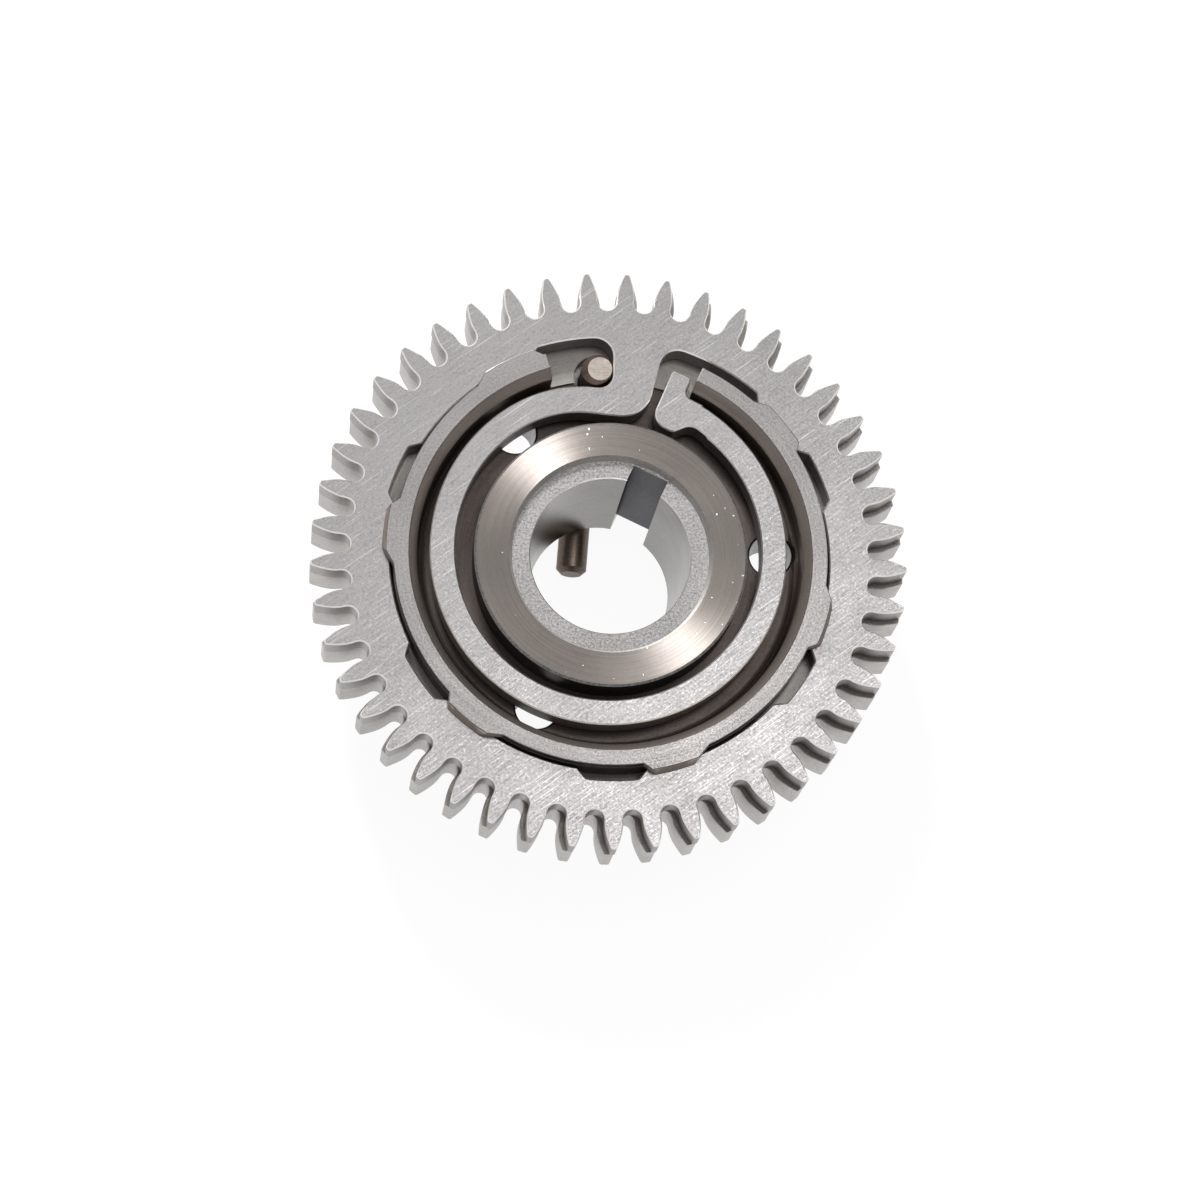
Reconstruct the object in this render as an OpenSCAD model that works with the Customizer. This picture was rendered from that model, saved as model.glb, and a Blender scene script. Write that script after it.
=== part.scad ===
// Injection pump gear: a taper bored drive gear with a sprung scissor plate on its front face.
// Six lugs hold the plate as a bayonet, and an L-shaped lock pin holds its spring arm loaded.
// The origin is on the bore's axis, in the plane of the plate's front face, and +Z leaves the front.
// Angles run anticlockwise from +X, seen from the front.

/* [Teeth] */
// Number of teeth on the gear and on the plate
teeth = 45; // [44:1:52]
// Module: pitch diameter over the number of teeth
tooth_module = 2; // [1.96:0.01:2.2]
// Pressure angle of the flanks
pressure_angle = 14.5; // [13:0.5:18]
// Height of a tooth above the pitch circle
addendum = 2.5; // [2:0.1:2.7]
// Depth of a tooth space below the pitch circle
dedendum = 3.8; // [3.2:0.1:4]
// Thickness of a plate tooth on the pitch circle
plate_tooth = 2.5; // [2.2:0.05:2.8]
// Thickness of a gear tooth on the pitch circle
gear_tooth = 3.1; // [2.6:0.05:3.3]
// Radius of the corners of a tooth's tip
tip_round = 0.35; // [0.1:0.05:0.5]
// Angle that the gear's teeth lag behind the locked plate's
lag = 0.65; // [0.2:0.05:0.8]

/* [Gear body] */
// Depth of the gear's toothed rim, along the axis
rim_depth = 7.45; // [6:0.05:9]
// Depth of the web's floor below the plate's front face
groove_depth = 5.1; // [4.8:0.1:6]
// Thickness of the web at its three holes
web_t = 10.6; // [8:0.1:12]
// Diameter of the web's back face
web_d = 72; // [66:0.5:76]
// Length of the tapered bore
bore_length = 23.5; // [20:0.5:28]
// Bore diameter at the front, in the plane of the plate's front face
bore_front_d = 25.6; // [22:0.1:27]
// Bore diameter at the back
bore_back_d = 23; // [20:0.1:24]
// Width of the keyway
key_w = 6; // [4:0.5:8]
// Depth of the keyway beyond the bore's wall
key_depth = 2.4; // [1.5:0.1:2.6]
// Direction of the keyway, and of the end of the rim ring
key_angle = 66; // [64:0.5:67]

/* [Hub and holes] */
// Outer diameter of the hub
hub_d = 43.5; // [40:0.5:44.5]
// Height of the turned hub face above the plate's front face
hub_rise = 1.4; // [0.5:0.1:3]
// Width of the recessed land round the bore's mouth
mouth_w = 2.9; // [2.7:0.1:4]
// Width of the slope from that land up to the turned face
mouth_slope = 0.55; // [0.2:0.05:1]
// Diameter of the boss on the back
boss_d = 40; // [34:0.5:43]
// Edge break on the hub's and the back's edges
edge_break = 0.35; // [0.1:0.05:0.8]
// Number of holes in the web
web_holes = 3; // [2:1:4]
// Diameter of a web hole
web_hole_d = 6.8; // [5:0.1:7]
// Pitch circle diameter of the web holes
web_hole_pcd = 52.6; // [52:0.1:54]

/* [Rim ring and lugs] */
// Inner diameter of the plate where it runs on the rim ring
land_d = 70; // [69:0.5:72]
// Radial play between the rim ring and the plate
land_play = 0.45; // [0.1:0.05:0.6]
// Radial width of the rim ring
ring_w = 3.85; // [3.4:0.05:4.2]
// Height of the rim ring and the lugs above the plate's front face
ring_rise = 1.9; // [1.2:0.1:3]
// Radial width of the bevel inside the rim ring
bevel_w = 1.3; // [0.6:0.1:2]
// Height of that bevel
bevel_h = 2.2; // [1:0.1:3]
// Direction at which the rim ring starts
ring_start = 109; // [107:0.5:112]
// Number of lugs
lugs = 6; // [5:1:6]
// Angle from one lug to the next
lug_pitch = 56; // [54:0.5:57]
// Direction of the first lug's bayonet stop
lug_first = 112.5; // [112:0.5:114]
// Angle that a lug covers
lug_span = 16; // [12:0.5:16]
// Angle of a bayonet notch in the plate
notch_span = 17.5; // [16.5:0.5:20]
// Radial reach of a lug over the plate
lug_reach = 1.85; // [1.2:0.05:2.2]
// Play of a lug in its notch, and above the plate's front face
lug_play = 0.1; // [0.05:0.05:0.3]

/* [Scissor plate] */
// Thickness of the plate
plate_t = 4.5; // [3.5:0.1:4.7]
// Play between the plate and the gear's seat
seat_play = 0.05; // [0.03:0.01:0.1]
// Radial width of the spring arm
arm_w = 4; // [3.2:0.1:4.2]
// Radial space between the sprung arm's mean circle and the rim ring
arm_space = 2.2; // [2:0.1:2.6]
// Sideways set of the sprung arm's circle
arm_sway = 1.02; // [0.6:0.02:1.3]
// Ovality of the sprung arm, as a change of radius
arm_oval = 0.16; // [0:0.02:0.3]
// Direction of the middle of the neck that carries the arm
neck_angle = 83.9; // [82.5:0.1:85]
// Angle that the neck covers
neck_span = 13; // [10:0.5:14]
// Inward haunch of the arm's outer edge at the neck
haunch_out = 1.75; // [1:0.05:2]
// Inward haunch of the arm's inner edge at the neck
haunch_in = 2.27; // [1:0.05:2.4]
// Width of the T-head's tab at the arm's free end
head_w = 3.2; // [2.4:0.1:3.8]
// Play between the locked T-head and the end of the rim ring
head_play = 0.9; // [0.6:0.1:1.2]
// Reach of the tab's top beyond the rim ring's inner wall
head_reach = 2.1; // [1:0.1:3]
// Reach of the tab's foot inside the arm's inner edge
foot_reach = 2.4; // [1.5:0.1:2.6]

/* [Lock pin] */
// Diameter of the pin's wire
pin_d = 5; // [4:0.1:5.2]
// Play between the pin and the neck, and between the pin and its hole
pin_play = 0.1; // [0.05:0.05:0.2]
// Space between the pin and the arm below it
pin_space = 0.7; // [0.3:0.1:1.2]
// Diameter of the relief round the pin in the gear's seat
relief_d = 7; // [6:0.1:7.4]
// Depth of that relief
relief_depth = 3; // [1:0.5:5]
// Distance of the pin's sheared end below the plate's front face
pin_sink = 0.15; // [0:0.05:0.5]
// Radius of the bend's centreline
pin_bend = 6; // [5:0.5:8]
// Space between the boss on the back and the pin's tail
tail_space = 1.5; // [0.5:0.1:4]
// Length of the tail from the pin's axis to its tip
tail_length = 26.8; // [20:0.1:30]
// Direction of the tail
tail_angle = 266.9; // [264:0.1:270]

/* [Hidden] */
$fn = 96;

// Distance that a cut passes beyond the face it opens, and that a joined piece reaches inside
over = 1;

// Radii of the teeth
pitch_r = tooth_module * teeth / 2;
base_r = pitch_r * cos(pressure_angle);
tip_r = pitch_r + addendum;
root_r = pitch_r - dedendum;
half_pitch = 180 / teeth;

// Levels along the axis, from the front to the back
top_z = ring_rise;
lug_z = lug_play;
seat_z = -plate_t - seat_play;
groove_z = -max(groove_depth, plate_t + seat_play + 0.25);
rim_back_z = seat_z - rim_depth;
web_back_z = groove_z - web_t;
boss_back_z = -bore_length;

// Radii from the plate's land inwards, then outwards
land_r = land_d / 2;
ring_out_r = land_r - land_play;
ring_in_r = ring_out_r - ring_w;
lug_r = ring_out_r + lug_reach;
notch_r = lug_r + lug_play;
arm_out_r = ring_in_r - arm_space;
arm_in_r = arm_out_r - arm_w;
hub_r = hub_d / 2;
mouth_r = bore_front_d / 2 + mouth_w;

// Slopes and rounds of the details
lug_lean = ring_rise - lug_play;
lug_draft = 0.5;
notch_slope = 2.25;
notch_round = 0.6;
groove_round = 1.5;
neck_root_round = 3;
neck_crook_round = 2.3;
neck_heel_round = 5;
hole_break = 0.3;
bore_break = 0.2;
tip_break = 0.8;
shear_shift = 0.45;

// Directions of the neck's walls, and of the sprung arm's sway and ovality
neck_start = neck_angle - neck_span / 2;
neck_end = neck_angle + neck_span / 2;
sway_angle = 105.9;
oval_angle = 63.8;

// The haunch of each edge of the arm fades over these angles beyond the neck
fade_out = 16;
fade_in = 18.5;
fade_power = 1.5;

// The arm's edges are drawn from the neck round to the head in steps of about three degrees
arm_steps = 100;
crook_steps = 6;
flank_steps = 4;

// Points and outlines

function polar(r, a) = [r * cos(a), r * sin(a)];

function unit(v) = v / norm(v);

function turned(points, a) =
    [for (p = points) [p.x * cos(a) - p.y * sin(a), p.x * sin(a) + p.y * cos(a)]];

// Arc of a circle from one direction to another
function bend(centre, r, from, to, steps = crook_steps) =
    [for (i = [0:steps]) centre + polar(r, from + (to - from) * i / steps)];

// Angle from direction a to direction b, the short way round
function sweep(a, b) = (b - a + 540) % 360 - 180;

// Arc that rounds the corner q between its neighbours p and s
function corner(p, q, s, r, steps = crook_steps) =
    let (
        u = unit(p - q),
        v = unit(s - q),
        half = acos(u * v) / 2,
        centre = q + unit(u + v) * r / sin(half),
        a = q + u * r / tan(half) - centre,
        b = q + v * r / tan(half) - centre,
        from = atan2(a.y, a.x)
    )
    bend(centre, r, from, from + sweep(from, atan2(b.y, b.x)), steps);

// Path through corners given as [x, y, radius], whose first and last points stay sharp
function rounded_path(c) = [
    for (i = [0:len(c) - 1])
        let (q = [c[i].x, c[i].y])
        each (i == 0 || i == len(c) - 1 || c[i].z == 0 ? [q] :
            corner([c[i - 1].x, c[i - 1].y], q, [c[i + 1].x, c[i + 1].y], c[i].z))
];

// Point beside the direction a: t to its anticlockwise side, r out along it
function beside(a, t, r) = [r * cos(a) - t * sin(a), r * sin(a) + t * cos(a)];

// Tooth form

function involute(a) = tan(a) - a * PI / 180;

// Half the angle that a tooth covers at radius r
function half_tooth(thick, r) =
    (thick / (2 * pitch_r) + involute(pressure_angle) - involute(acos(base_r / r))) * 180 / PI;

// One tooth on +X, from the middle of a round space floor up one flank and down the other
function tooth(thick) =
    let (
        flank = half_tooth(thick, base_r),
        space = half_pitch - flank,
        floor_c = root_r / (1 - sin(space)),
        floor_r = floor_c * sin(space),
        shoulder_r = tip_r - 2 * tip_round,
        shoulder = polar(shoulder_r, -half_tooth(thick, shoulder_r)),
        half = concat(
            bend(polar(floor_c, -half_pitch), floor_r, 180 - half_pitch, 90 - flank, flank_steps),
            [for (i = [0:flank_steps])
                let (r = base_r + (shoulder_r - base_r) * i / flank_steps)
                polar(r, -half_tooth(thick, r))],
            corner(shoulder, polar(tip_r, -half_tooth(thick, tip_r)), [tip_r, 0], tip_round, 2)
        )
    )
    concat(half, [for (i = [len(half) - 1:-1:1]) [half[i].x, -half[i].y]]);

function toothed_outline(thick) =
    let (one = tooth(thick))
    [for (k = [0:teeth - 1]) each turned(one, k * 2 * half_pitch)];

// Main gear

// Half section of the gear without its rim ring
module gear_section() {
    rim_r = root_r - over;
    web_r = web_d / 2;
    boss_r = boss_d / 2;
    polygon([
        [0, 0],
        [mouth_r, 0],
        [mouth_r + mouth_slope, hub_rise],
        [hub_r - edge_break, hub_rise],
        [hub_r, hub_rise - edge_break],
        [hub_r, groove_z],
        [ring_in_r, groove_z],
        [ring_in_r, seat_z],
        [rim_r, seat_z],
        [rim_r, rim_back_z],
        [web_r, rim_back_z],
        [web_r, web_back_z + edge_break],
        [web_r - edge_break, web_back_z],
        [boss_r, web_back_z],
        [boss_r, boss_back_z + edge_break],
        [boss_r - edge_break, boss_back_z],
        [0, boss_back_z]
    ]);
}

// Section of the rim ring before facing, with the groove's round and the bevel at its mouth
module ring_section() {
    polygon(concat(
        [[ring_in_r - groove_round, groove_z - over]],
        bend([ring_in_r - groove_round, groove_z + groove_round], groove_round, 270, 360),
        [
            [ring_in_r, top_z - bevel_h],
            [ring_in_r + bevel_w * (1 + over / bevel_h), top_z + over],
            [ring_out_r, top_z + over],
            [ring_out_r, groove_z - over]
        ]
    ));
}

module rim_ring() {
    rotate([0, 0, ring_start])
        rotate_extrude(angle = 360 + key_angle - ring_start)
            ring_section();
}

// Section of a lug before facing, with a draft on its rim
module lug_section() {
    draft = lug_draft * (1 + over / 2 / lug_lean);
    polygon([
        [ring_out_r - over, lug_z],
        [lug_r, lug_z],
        [lug_r - draft, top_z + over / 2],
        [ring_out_r - over, top_z + over / 2]
    ]);
}

// One lug from direction a, sloped at both ends, or carried on to the start of the rim ring
module lug(a, flush) {
    half_w = ring_out_r * sin(lug_span / 2);
    slope = [[half_w, lug_z - over], [half_w, lug_z], [half_w - lug_lean - over, top_z + over]];
    intersection() {
        rotate([0, 0, flush ? ring_start : a - lug_span / 2])
            rotate_extrude(angle = 2 * lug_span)
                lug_section();
        rotate([90, 0, a + lug_span / 2 + 90])
            linear_extrude(height = lug_r + over)
                polygon(concat(
                    slope,
                    flush ? [[-lug_r, top_z + over], [-lug_r, lug_z - over]] :
                        [for (i = [2:-1:0]) [-slope[i].x, slope[i].y]]
                ));
    }
}

// Facing cut over the rim ring and the lugs
module facing() {
    translate([0, 0, top_z])
        difference() {
            cylinder(r = lug_r + over, h = 2 * over);
            translate([0, 0, -over])
                cylinder(r = ring_in_r - over, h = 4 * over);
        }
}

module tapered_bore() {
    slope = (bore_front_d - bore_back_d) / 2 / bore_length;
    translate([0, 0, boss_back_z - over])
        cylinder(
            r1 = bore_back_d / 2 - slope * over,
            r2 = bore_front_d / 2 + slope * over,
            h = bore_length + 2 * over
        );
    translate([0, 0, -bore_break])
        cylinder(
            r1 = bore_front_d / 2 - slope * bore_break,
            r2 = bore_front_d / 2 + over,
            h = bore_break + over
        );
}

// Keyway whose floor is parallel to the bore's wall
module keyway() {
    slope = (bore_front_d - bore_back_d) / 2 / bore_length;
    front_r = bore_front_d / 2 + key_depth;
    back_r = bore_back_d / 2 + key_depth;
    rotate([0, 0, key_angle])
        translate([0, key_w / 2, 0])
            rotate([90, 0, 0])
                linear_extrude(height = key_w)
                    polygon([
                        [0, over],
                        [front_r + slope * over, over],
                        [back_r - slope * over, boss_back_z - over],
                        [0, boss_back_z - over]
                    ]);
}

// Hole through the web, with its edges broken on both faces
module web_hole(a) {
    hole_r = web_hole_d / 2;
    rotate([0, 0, a])
        translate([web_hole_pcd / 2, 0, web_back_z]) {
            translate([0, 0, -over])
                cylinder(r = hole_r, h = web_t + 2 * over);
            translate([0, 0, web_t - hole_break])
                cylinder(r1 = hole_r, r2 = hole_r + hole_break + over, h = hole_break + over);
            translate([0, 0, -over])
                cylinder(r1 = hole_r + hole_break + over, r2 = hole_r, h = hole_break + over);
        }
}

// Hole for the lock pin, with its relief in the seat
module pin_hole() {
    translate([pin_at.x, pin_at.y, web_back_z - over])
        cylinder(r = pin_d / 2 + pin_play, h = web_t + over + ring_rise - groove_z);
    translate([pin_at.x, pin_at.y, seat_z - relief_depth])
        cylinder(r = relief_d / 2, h = relief_depth + over);
}

module main_gear() {
    color("#8f8a84")
        difference() {
            union() {
                rotate_extrude()
                    gear_section();
                translate([0, 0, rim_back_z])
                    linear_extrude(height = rim_depth)
                        difference() {
                            polygon(turned(toothed_outline(gear_tooth), -lag));
                            circle(r = root_r - 2 * over);
                        }
                rim_ring();
                for (k = [0:lugs - 1])
                    lug(lug_first + k * lug_pitch, k == 0);
            }
            facing();
            tapered_bore();
            keyway();
            for (k = [0:web_holes - 1])
                web_hole(key_angle + 180 / web_holes + k * 360 / web_holes);
            pin_hole();
        }
}

// Scissor plate

// Radius of an edge of the sprung arm in direction a, with its sway, ovality and haunch
function arm_edge(r, haunch, fade, a) =
    r + arm_sway * cos(a - sway_angle) + arm_oval * cos(2 * (a - oval_angle))
    - haunch * exp(-pow(max(0, a - neck_end) / fade, fade_power));

function arm_outer(a) = arm_edge(arm_out_r, haunch_out, fade_out, a);

function arm_inner(a) = arm_edge(arm_in_r, haunch_in, fade_in, a);

// The pin stands in the crook between the neck and the arm
pin_r = arm_outer(neck_end + asin(pin_d / 2 / arm_out_r)) + pin_space + pin_d / 2;
pin_at = polar(pin_r, neck_end + asin((pin_d / 2 + pin_play) / pin_r));

// Bayonet notch or pocket, whose corners lean inwards from a to b
module notch(a, b) {
    steps = ceil((b - a) / 3);
    from = a + notch_slope;
    to = b - notch_slope;
    polygon(rounded_path(concat(
        [concat(polar(land_r - over, a - notch_slope), 0), concat(polar(notch_r, from), notch_round)],
        [for (i = [1:steps - 1]) concat(polar(notch_r, from + (to - from) * i / steps), 0)],
        [concat(polar(notch_r, to), notch_round), concat(polar(land_r - over, b + notch_slope), 0)]
    )));
}

// Fillet where a wall of the neck meets the pocket's roof: side is 1 on the anticlockwise wall
function neck_root(wall, side) =
    let (
        centre_r = notch_r - neck_root_round,
        centre_a = wall + side * asin(neck_root_round / centre_r)
    )
    bend(polar(centre_r, centre_a), neck_root_round, centre_a, wall - side * 90);

// Inner corner between the neck's anticlockwise wall and the arm
function neck_crook() =
    let (
        touch_a = neck_end + asin(neck_crook_round / arm_out_r),
        centre_r = arm_outer(touch_a) + neck_crook_round,
        centre_a = neck_end + asin(neck_crook_round / centre_r)
    )
    bend(polar(centre_r, centre_a), neck_crook_round, neck_end - 90, centre_a - 180);

// Round heel between the neck's clockwise wall and the arm's inner edge
function neck_heel() =
    let (
        centre_r = arm_inner(neck_end) + neck_heel_round,
        centre_a = neck_start + asin(neck_heel_round / centre_r)
    )
    bend(polar(centre_r, centre_a), neck_heel_round, centre_a - 180, neck_start - 90);

// T-head at the arm's free end, beside the end of the rim ring
function t_head() =
    let (
        top = ring_in_r + head_reach,
        foot = arm_inner(key_angle + 360) - foot_reach,
        root = arm_outer(key_angle + 360),
        far = head_play + head_w
    )
    rounded_path([
        concat(beside(key_angle, -2.6, root), 0),
        concat(beside(key_angle, head_play, root + 0.1), 1.3),
        concat(beside(key_angle, head_play, top), 0.5),
        concat(beside(key_angle, far + 0.1, top - 0.1), 0.6),
        concat(beside(key_angle, far - 0.3, foot), 2.7),
        concat(beside(key_angle, -0.1, foot), 0.9),
        concat(beside(key_angle, -2.3, arm_inner(key_angle + 360) + 0.2), 2.2),
        concat(beside(key_angle, -5.2, arm_inner(key_angle + 360) - 0.5), 0)
    ]);

// Neck, spring arm and T-head in one outline, anticlockwise round the bore
module arm_outline() {
    outer_start = neck_end + asin(neck_crook_round / arm_out_r);
    outer_span = key_angle + 355 - outer_start;
    inner_span = key_angle + 347 - neck_end;
    polygon(concat(
        [polar(notch_r + over, neck_angle)],
        neck_root(neck_end, 1),
        neck_crook(),
        [for (i = [1:arm_steps])
            let (a = outer_start + outer_span * i / arm_steps)
            polar(arm_outer(a), a)],
        t_head(),
        [for (i = [arm_steps:-1:1])
            let (a = neck_end + inner_span * i / arm_steps)
            polar(arm_inner(a), a)],
        neck_heel(),
        [for (i = [crook_steps:-1:0]) neck_root(neck_start, -1)[i]]
    ));
}

module plate_outline() {
    difference() {
        polygon(toothed_outline(plate_tooth));
        circle(r = land_r);
        for (k = [1:lugs - 1])
            notch(lug_first + k * lug_pitch - notch_span, lug_first + k * lug_pitch);
        notch(lug_first + (lugs - 1) * lug_pitch + lug_span - 360, lug_first);
    }
    arm_outline();
}

module scissor_plate() {
    color("#b9b6b1")
        translate([0, 0, -plate_t])
            linear_extrude(height = plate_t)
                plate_outline();
}

// Lock pin

// Straight stretch of the pin, whose front end is sheared at a slant off the wire's centre
module sheared_wire(length) {
    face_r = pin_d / 2 - shear_shift - 0.1;
    intersection() {
        cylinder(r = pin_d / 2, h = length);
        translate(polar(shear_shift, -tail_angle))
            cylinder(r1 = face_r + length, r2 = face_r, h = length);
    }
}

module lock_pin() {
    wire_r = pin_d / 2;
    tail_z = min(boss_back_z, web_back_z) - tail_space - wire_r;
    bend_z = tail_z + pin_bend;
    tail_l = tail_length - pin_bend - tip_break;
    color("#5b5048")
        translate([pin_at.x, pin_at.y, bend_z])
            rotate([0, 0, tail_angle]) {
                sheared_wire(-bend_z - pin_sink);
                translate([pin_bend, 0, 0]) {
                    rotate([90, 0, 0])
                        rotate([0, 0, 180])
                            rotate_extrude(angle = 90)
                                translate([pin_bend, 0])
                                    circle(r = wire_r);
                    translate([0, 0, -pin_bend])
                        rotate([0, 90, 0]) {
                            cylinder(r = wire_r, h = tail_l);
                            translate([0, 0, tail_l])
                                cylinder(r1 = wire_r, r2 = wire_r - tip_break, h = tip_break);
                        }
                }
            }
}

main_gear();
scissor_plate();
lock_pin();
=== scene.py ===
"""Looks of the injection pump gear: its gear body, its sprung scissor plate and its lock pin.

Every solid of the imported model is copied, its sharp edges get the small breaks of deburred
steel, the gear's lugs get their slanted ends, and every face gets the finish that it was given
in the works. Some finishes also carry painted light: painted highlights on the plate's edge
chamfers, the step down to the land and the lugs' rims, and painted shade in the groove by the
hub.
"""

import logging
import math
from dataclasses import dataclass
from enum import Enum

import bpy
from mathutils import Euler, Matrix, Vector


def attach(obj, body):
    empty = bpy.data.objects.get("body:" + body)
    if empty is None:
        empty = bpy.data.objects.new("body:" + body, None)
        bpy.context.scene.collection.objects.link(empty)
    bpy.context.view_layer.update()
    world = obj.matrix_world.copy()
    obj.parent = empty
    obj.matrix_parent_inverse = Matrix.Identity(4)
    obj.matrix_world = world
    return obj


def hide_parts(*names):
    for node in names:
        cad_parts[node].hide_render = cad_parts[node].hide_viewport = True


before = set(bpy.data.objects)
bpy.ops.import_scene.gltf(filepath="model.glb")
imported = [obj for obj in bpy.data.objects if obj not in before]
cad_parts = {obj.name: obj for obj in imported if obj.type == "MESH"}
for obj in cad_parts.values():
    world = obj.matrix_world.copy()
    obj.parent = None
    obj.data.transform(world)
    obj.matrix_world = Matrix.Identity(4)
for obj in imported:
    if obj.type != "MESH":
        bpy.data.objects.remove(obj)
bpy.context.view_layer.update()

MM = 0.001
LOG = logging.getLogger("injection_pump_gear")
WHITE = (1.0, 1.0, 1.0, 1.0)

# The mix node keeps a socket of each kind under one name, so its colours go by number
MIX_FACTOR, MIX_LOWER, MIX_UPPER, MIX_RESULT = 0, 6, 7, 2

# Clouds of handling and oil over every steel: some 11 mm across and faint
CLOUDS_PER_MM = 0.09
CLOUD_CONTRAST = 0.12

# Roughness where a surface is darkest and lightest, as shares of the finish's own
DARK_ROUGHNESS = 1.2
LIGHT_ROUGHNESS = 0.85

# Single scratches: some 11 mm long and 0.2 mm wide, where a true one has a third of that width
SCRATCHES_PER_MM = (0.09, 4.4, 1.0)
SCRATCH_START = (3.7, 1.3)
SCRATCH_EDGE = (-0.04, 0.03)

# Nicks: bright torn specks of up to 0.17 of a cell, in cells of some 1.1 mm
NICK_CELLS_PER_MM = 0.9
NICK_TEARS_PER_MM = 2.6
NICK_TEAR = (0.9, 0.9, 0.0)
NICK_SIZE = 0.17
NICK_RARITY = 0.4
NICK_COLOUR = "#fbfaf8"

Colour = tuple[float, float, float, float]


def linear(hex_colour: str) -> Colour:
    """Turns an sRGB hex colour into a linear one.

    Args:
        hex_colour: Six hex digits, as in "#a0b1c2".

    Returns:
        Red, green, blue and alpha for a shader socket.
    """
    channels = [int(hex_colour[i : i + 2], 16) / 255 for i in (1, 3, 5)]
    red, green, blue = (
        c / 12.92 if c <= 0.04045 else ((c + 0.055) / 1.055) ** 2.4 for c in channels
    )
    return (red, green, blue, 1.0)


def add_node(
    tree: bpy.types.NodeTree,
    kind: str,
    links: dict[str | int, object] | None = None,
    **settings: object,
) -> bpy.types.Node:
    """Adds one node, with its settings and what feeds it.

    Args:
        tree: The node tree that the node is added to.
        kind: Blender's name of the node's type.
        links: For each input socket, by name or number, a value or the socket that feeds it.
        **settings: Properties of the node itself.

    Returns:
        The new node.
    """
    node = tree.nodes.new(kind)
    for name, value in settings.items():
        setattr(node, name, value)
    for socket, value in (links or {}).items():
        if isinstance(value, bpy.types.NodeSocket):
            tree.links.new(value, node.inputs[socket])
        else:
            node.inputs[socket].default_value = value
    return node


class Lay(Enum):
    """Direction of the marks that a tool leaves on a surface."""

    NONE = "none"
    STRAIGHT = "straight"
    ROUND = "round"


@dataclass(frozen=True)
class Marks:
    """Tool marks: fine grooves that run straight or round the gear's axis.

    Lengths are in millimetres. A groove of grit is some 0.02 mm wide in truth. It is drawn
    several times as wide, because a picture point of the whole gear covers 0.15 mm.
    """

    lay: Lay = Lay.NONE
    angle: float = 0.0
    width: float = 0.2
    length: float = 14.0
    contrast: float = 0.2
    depth: float = 0.004


@dataclass(frozen=True)
class Grain:
    """Open pores or scale between the grains of a surface, in millimetres.

    True pores are some 0.05 mm across. They are drawn coarser for the same reason as the marks.
    """

    size: float = 0.3
    contrast: float = 0.2
    depth: float = 0.004


@dataclass(frozen=True)
class Scratches:
    """One set of scratches: their turn from the marks, colour and how rare they are."""

    turn: float
    colour: str
    rarity: float


SCRATCH_SETS = (Scratches(0.0, "#e9e7e4", 0.7), Scratches(-13.0, "#6f6a66", 0.72))


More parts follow.
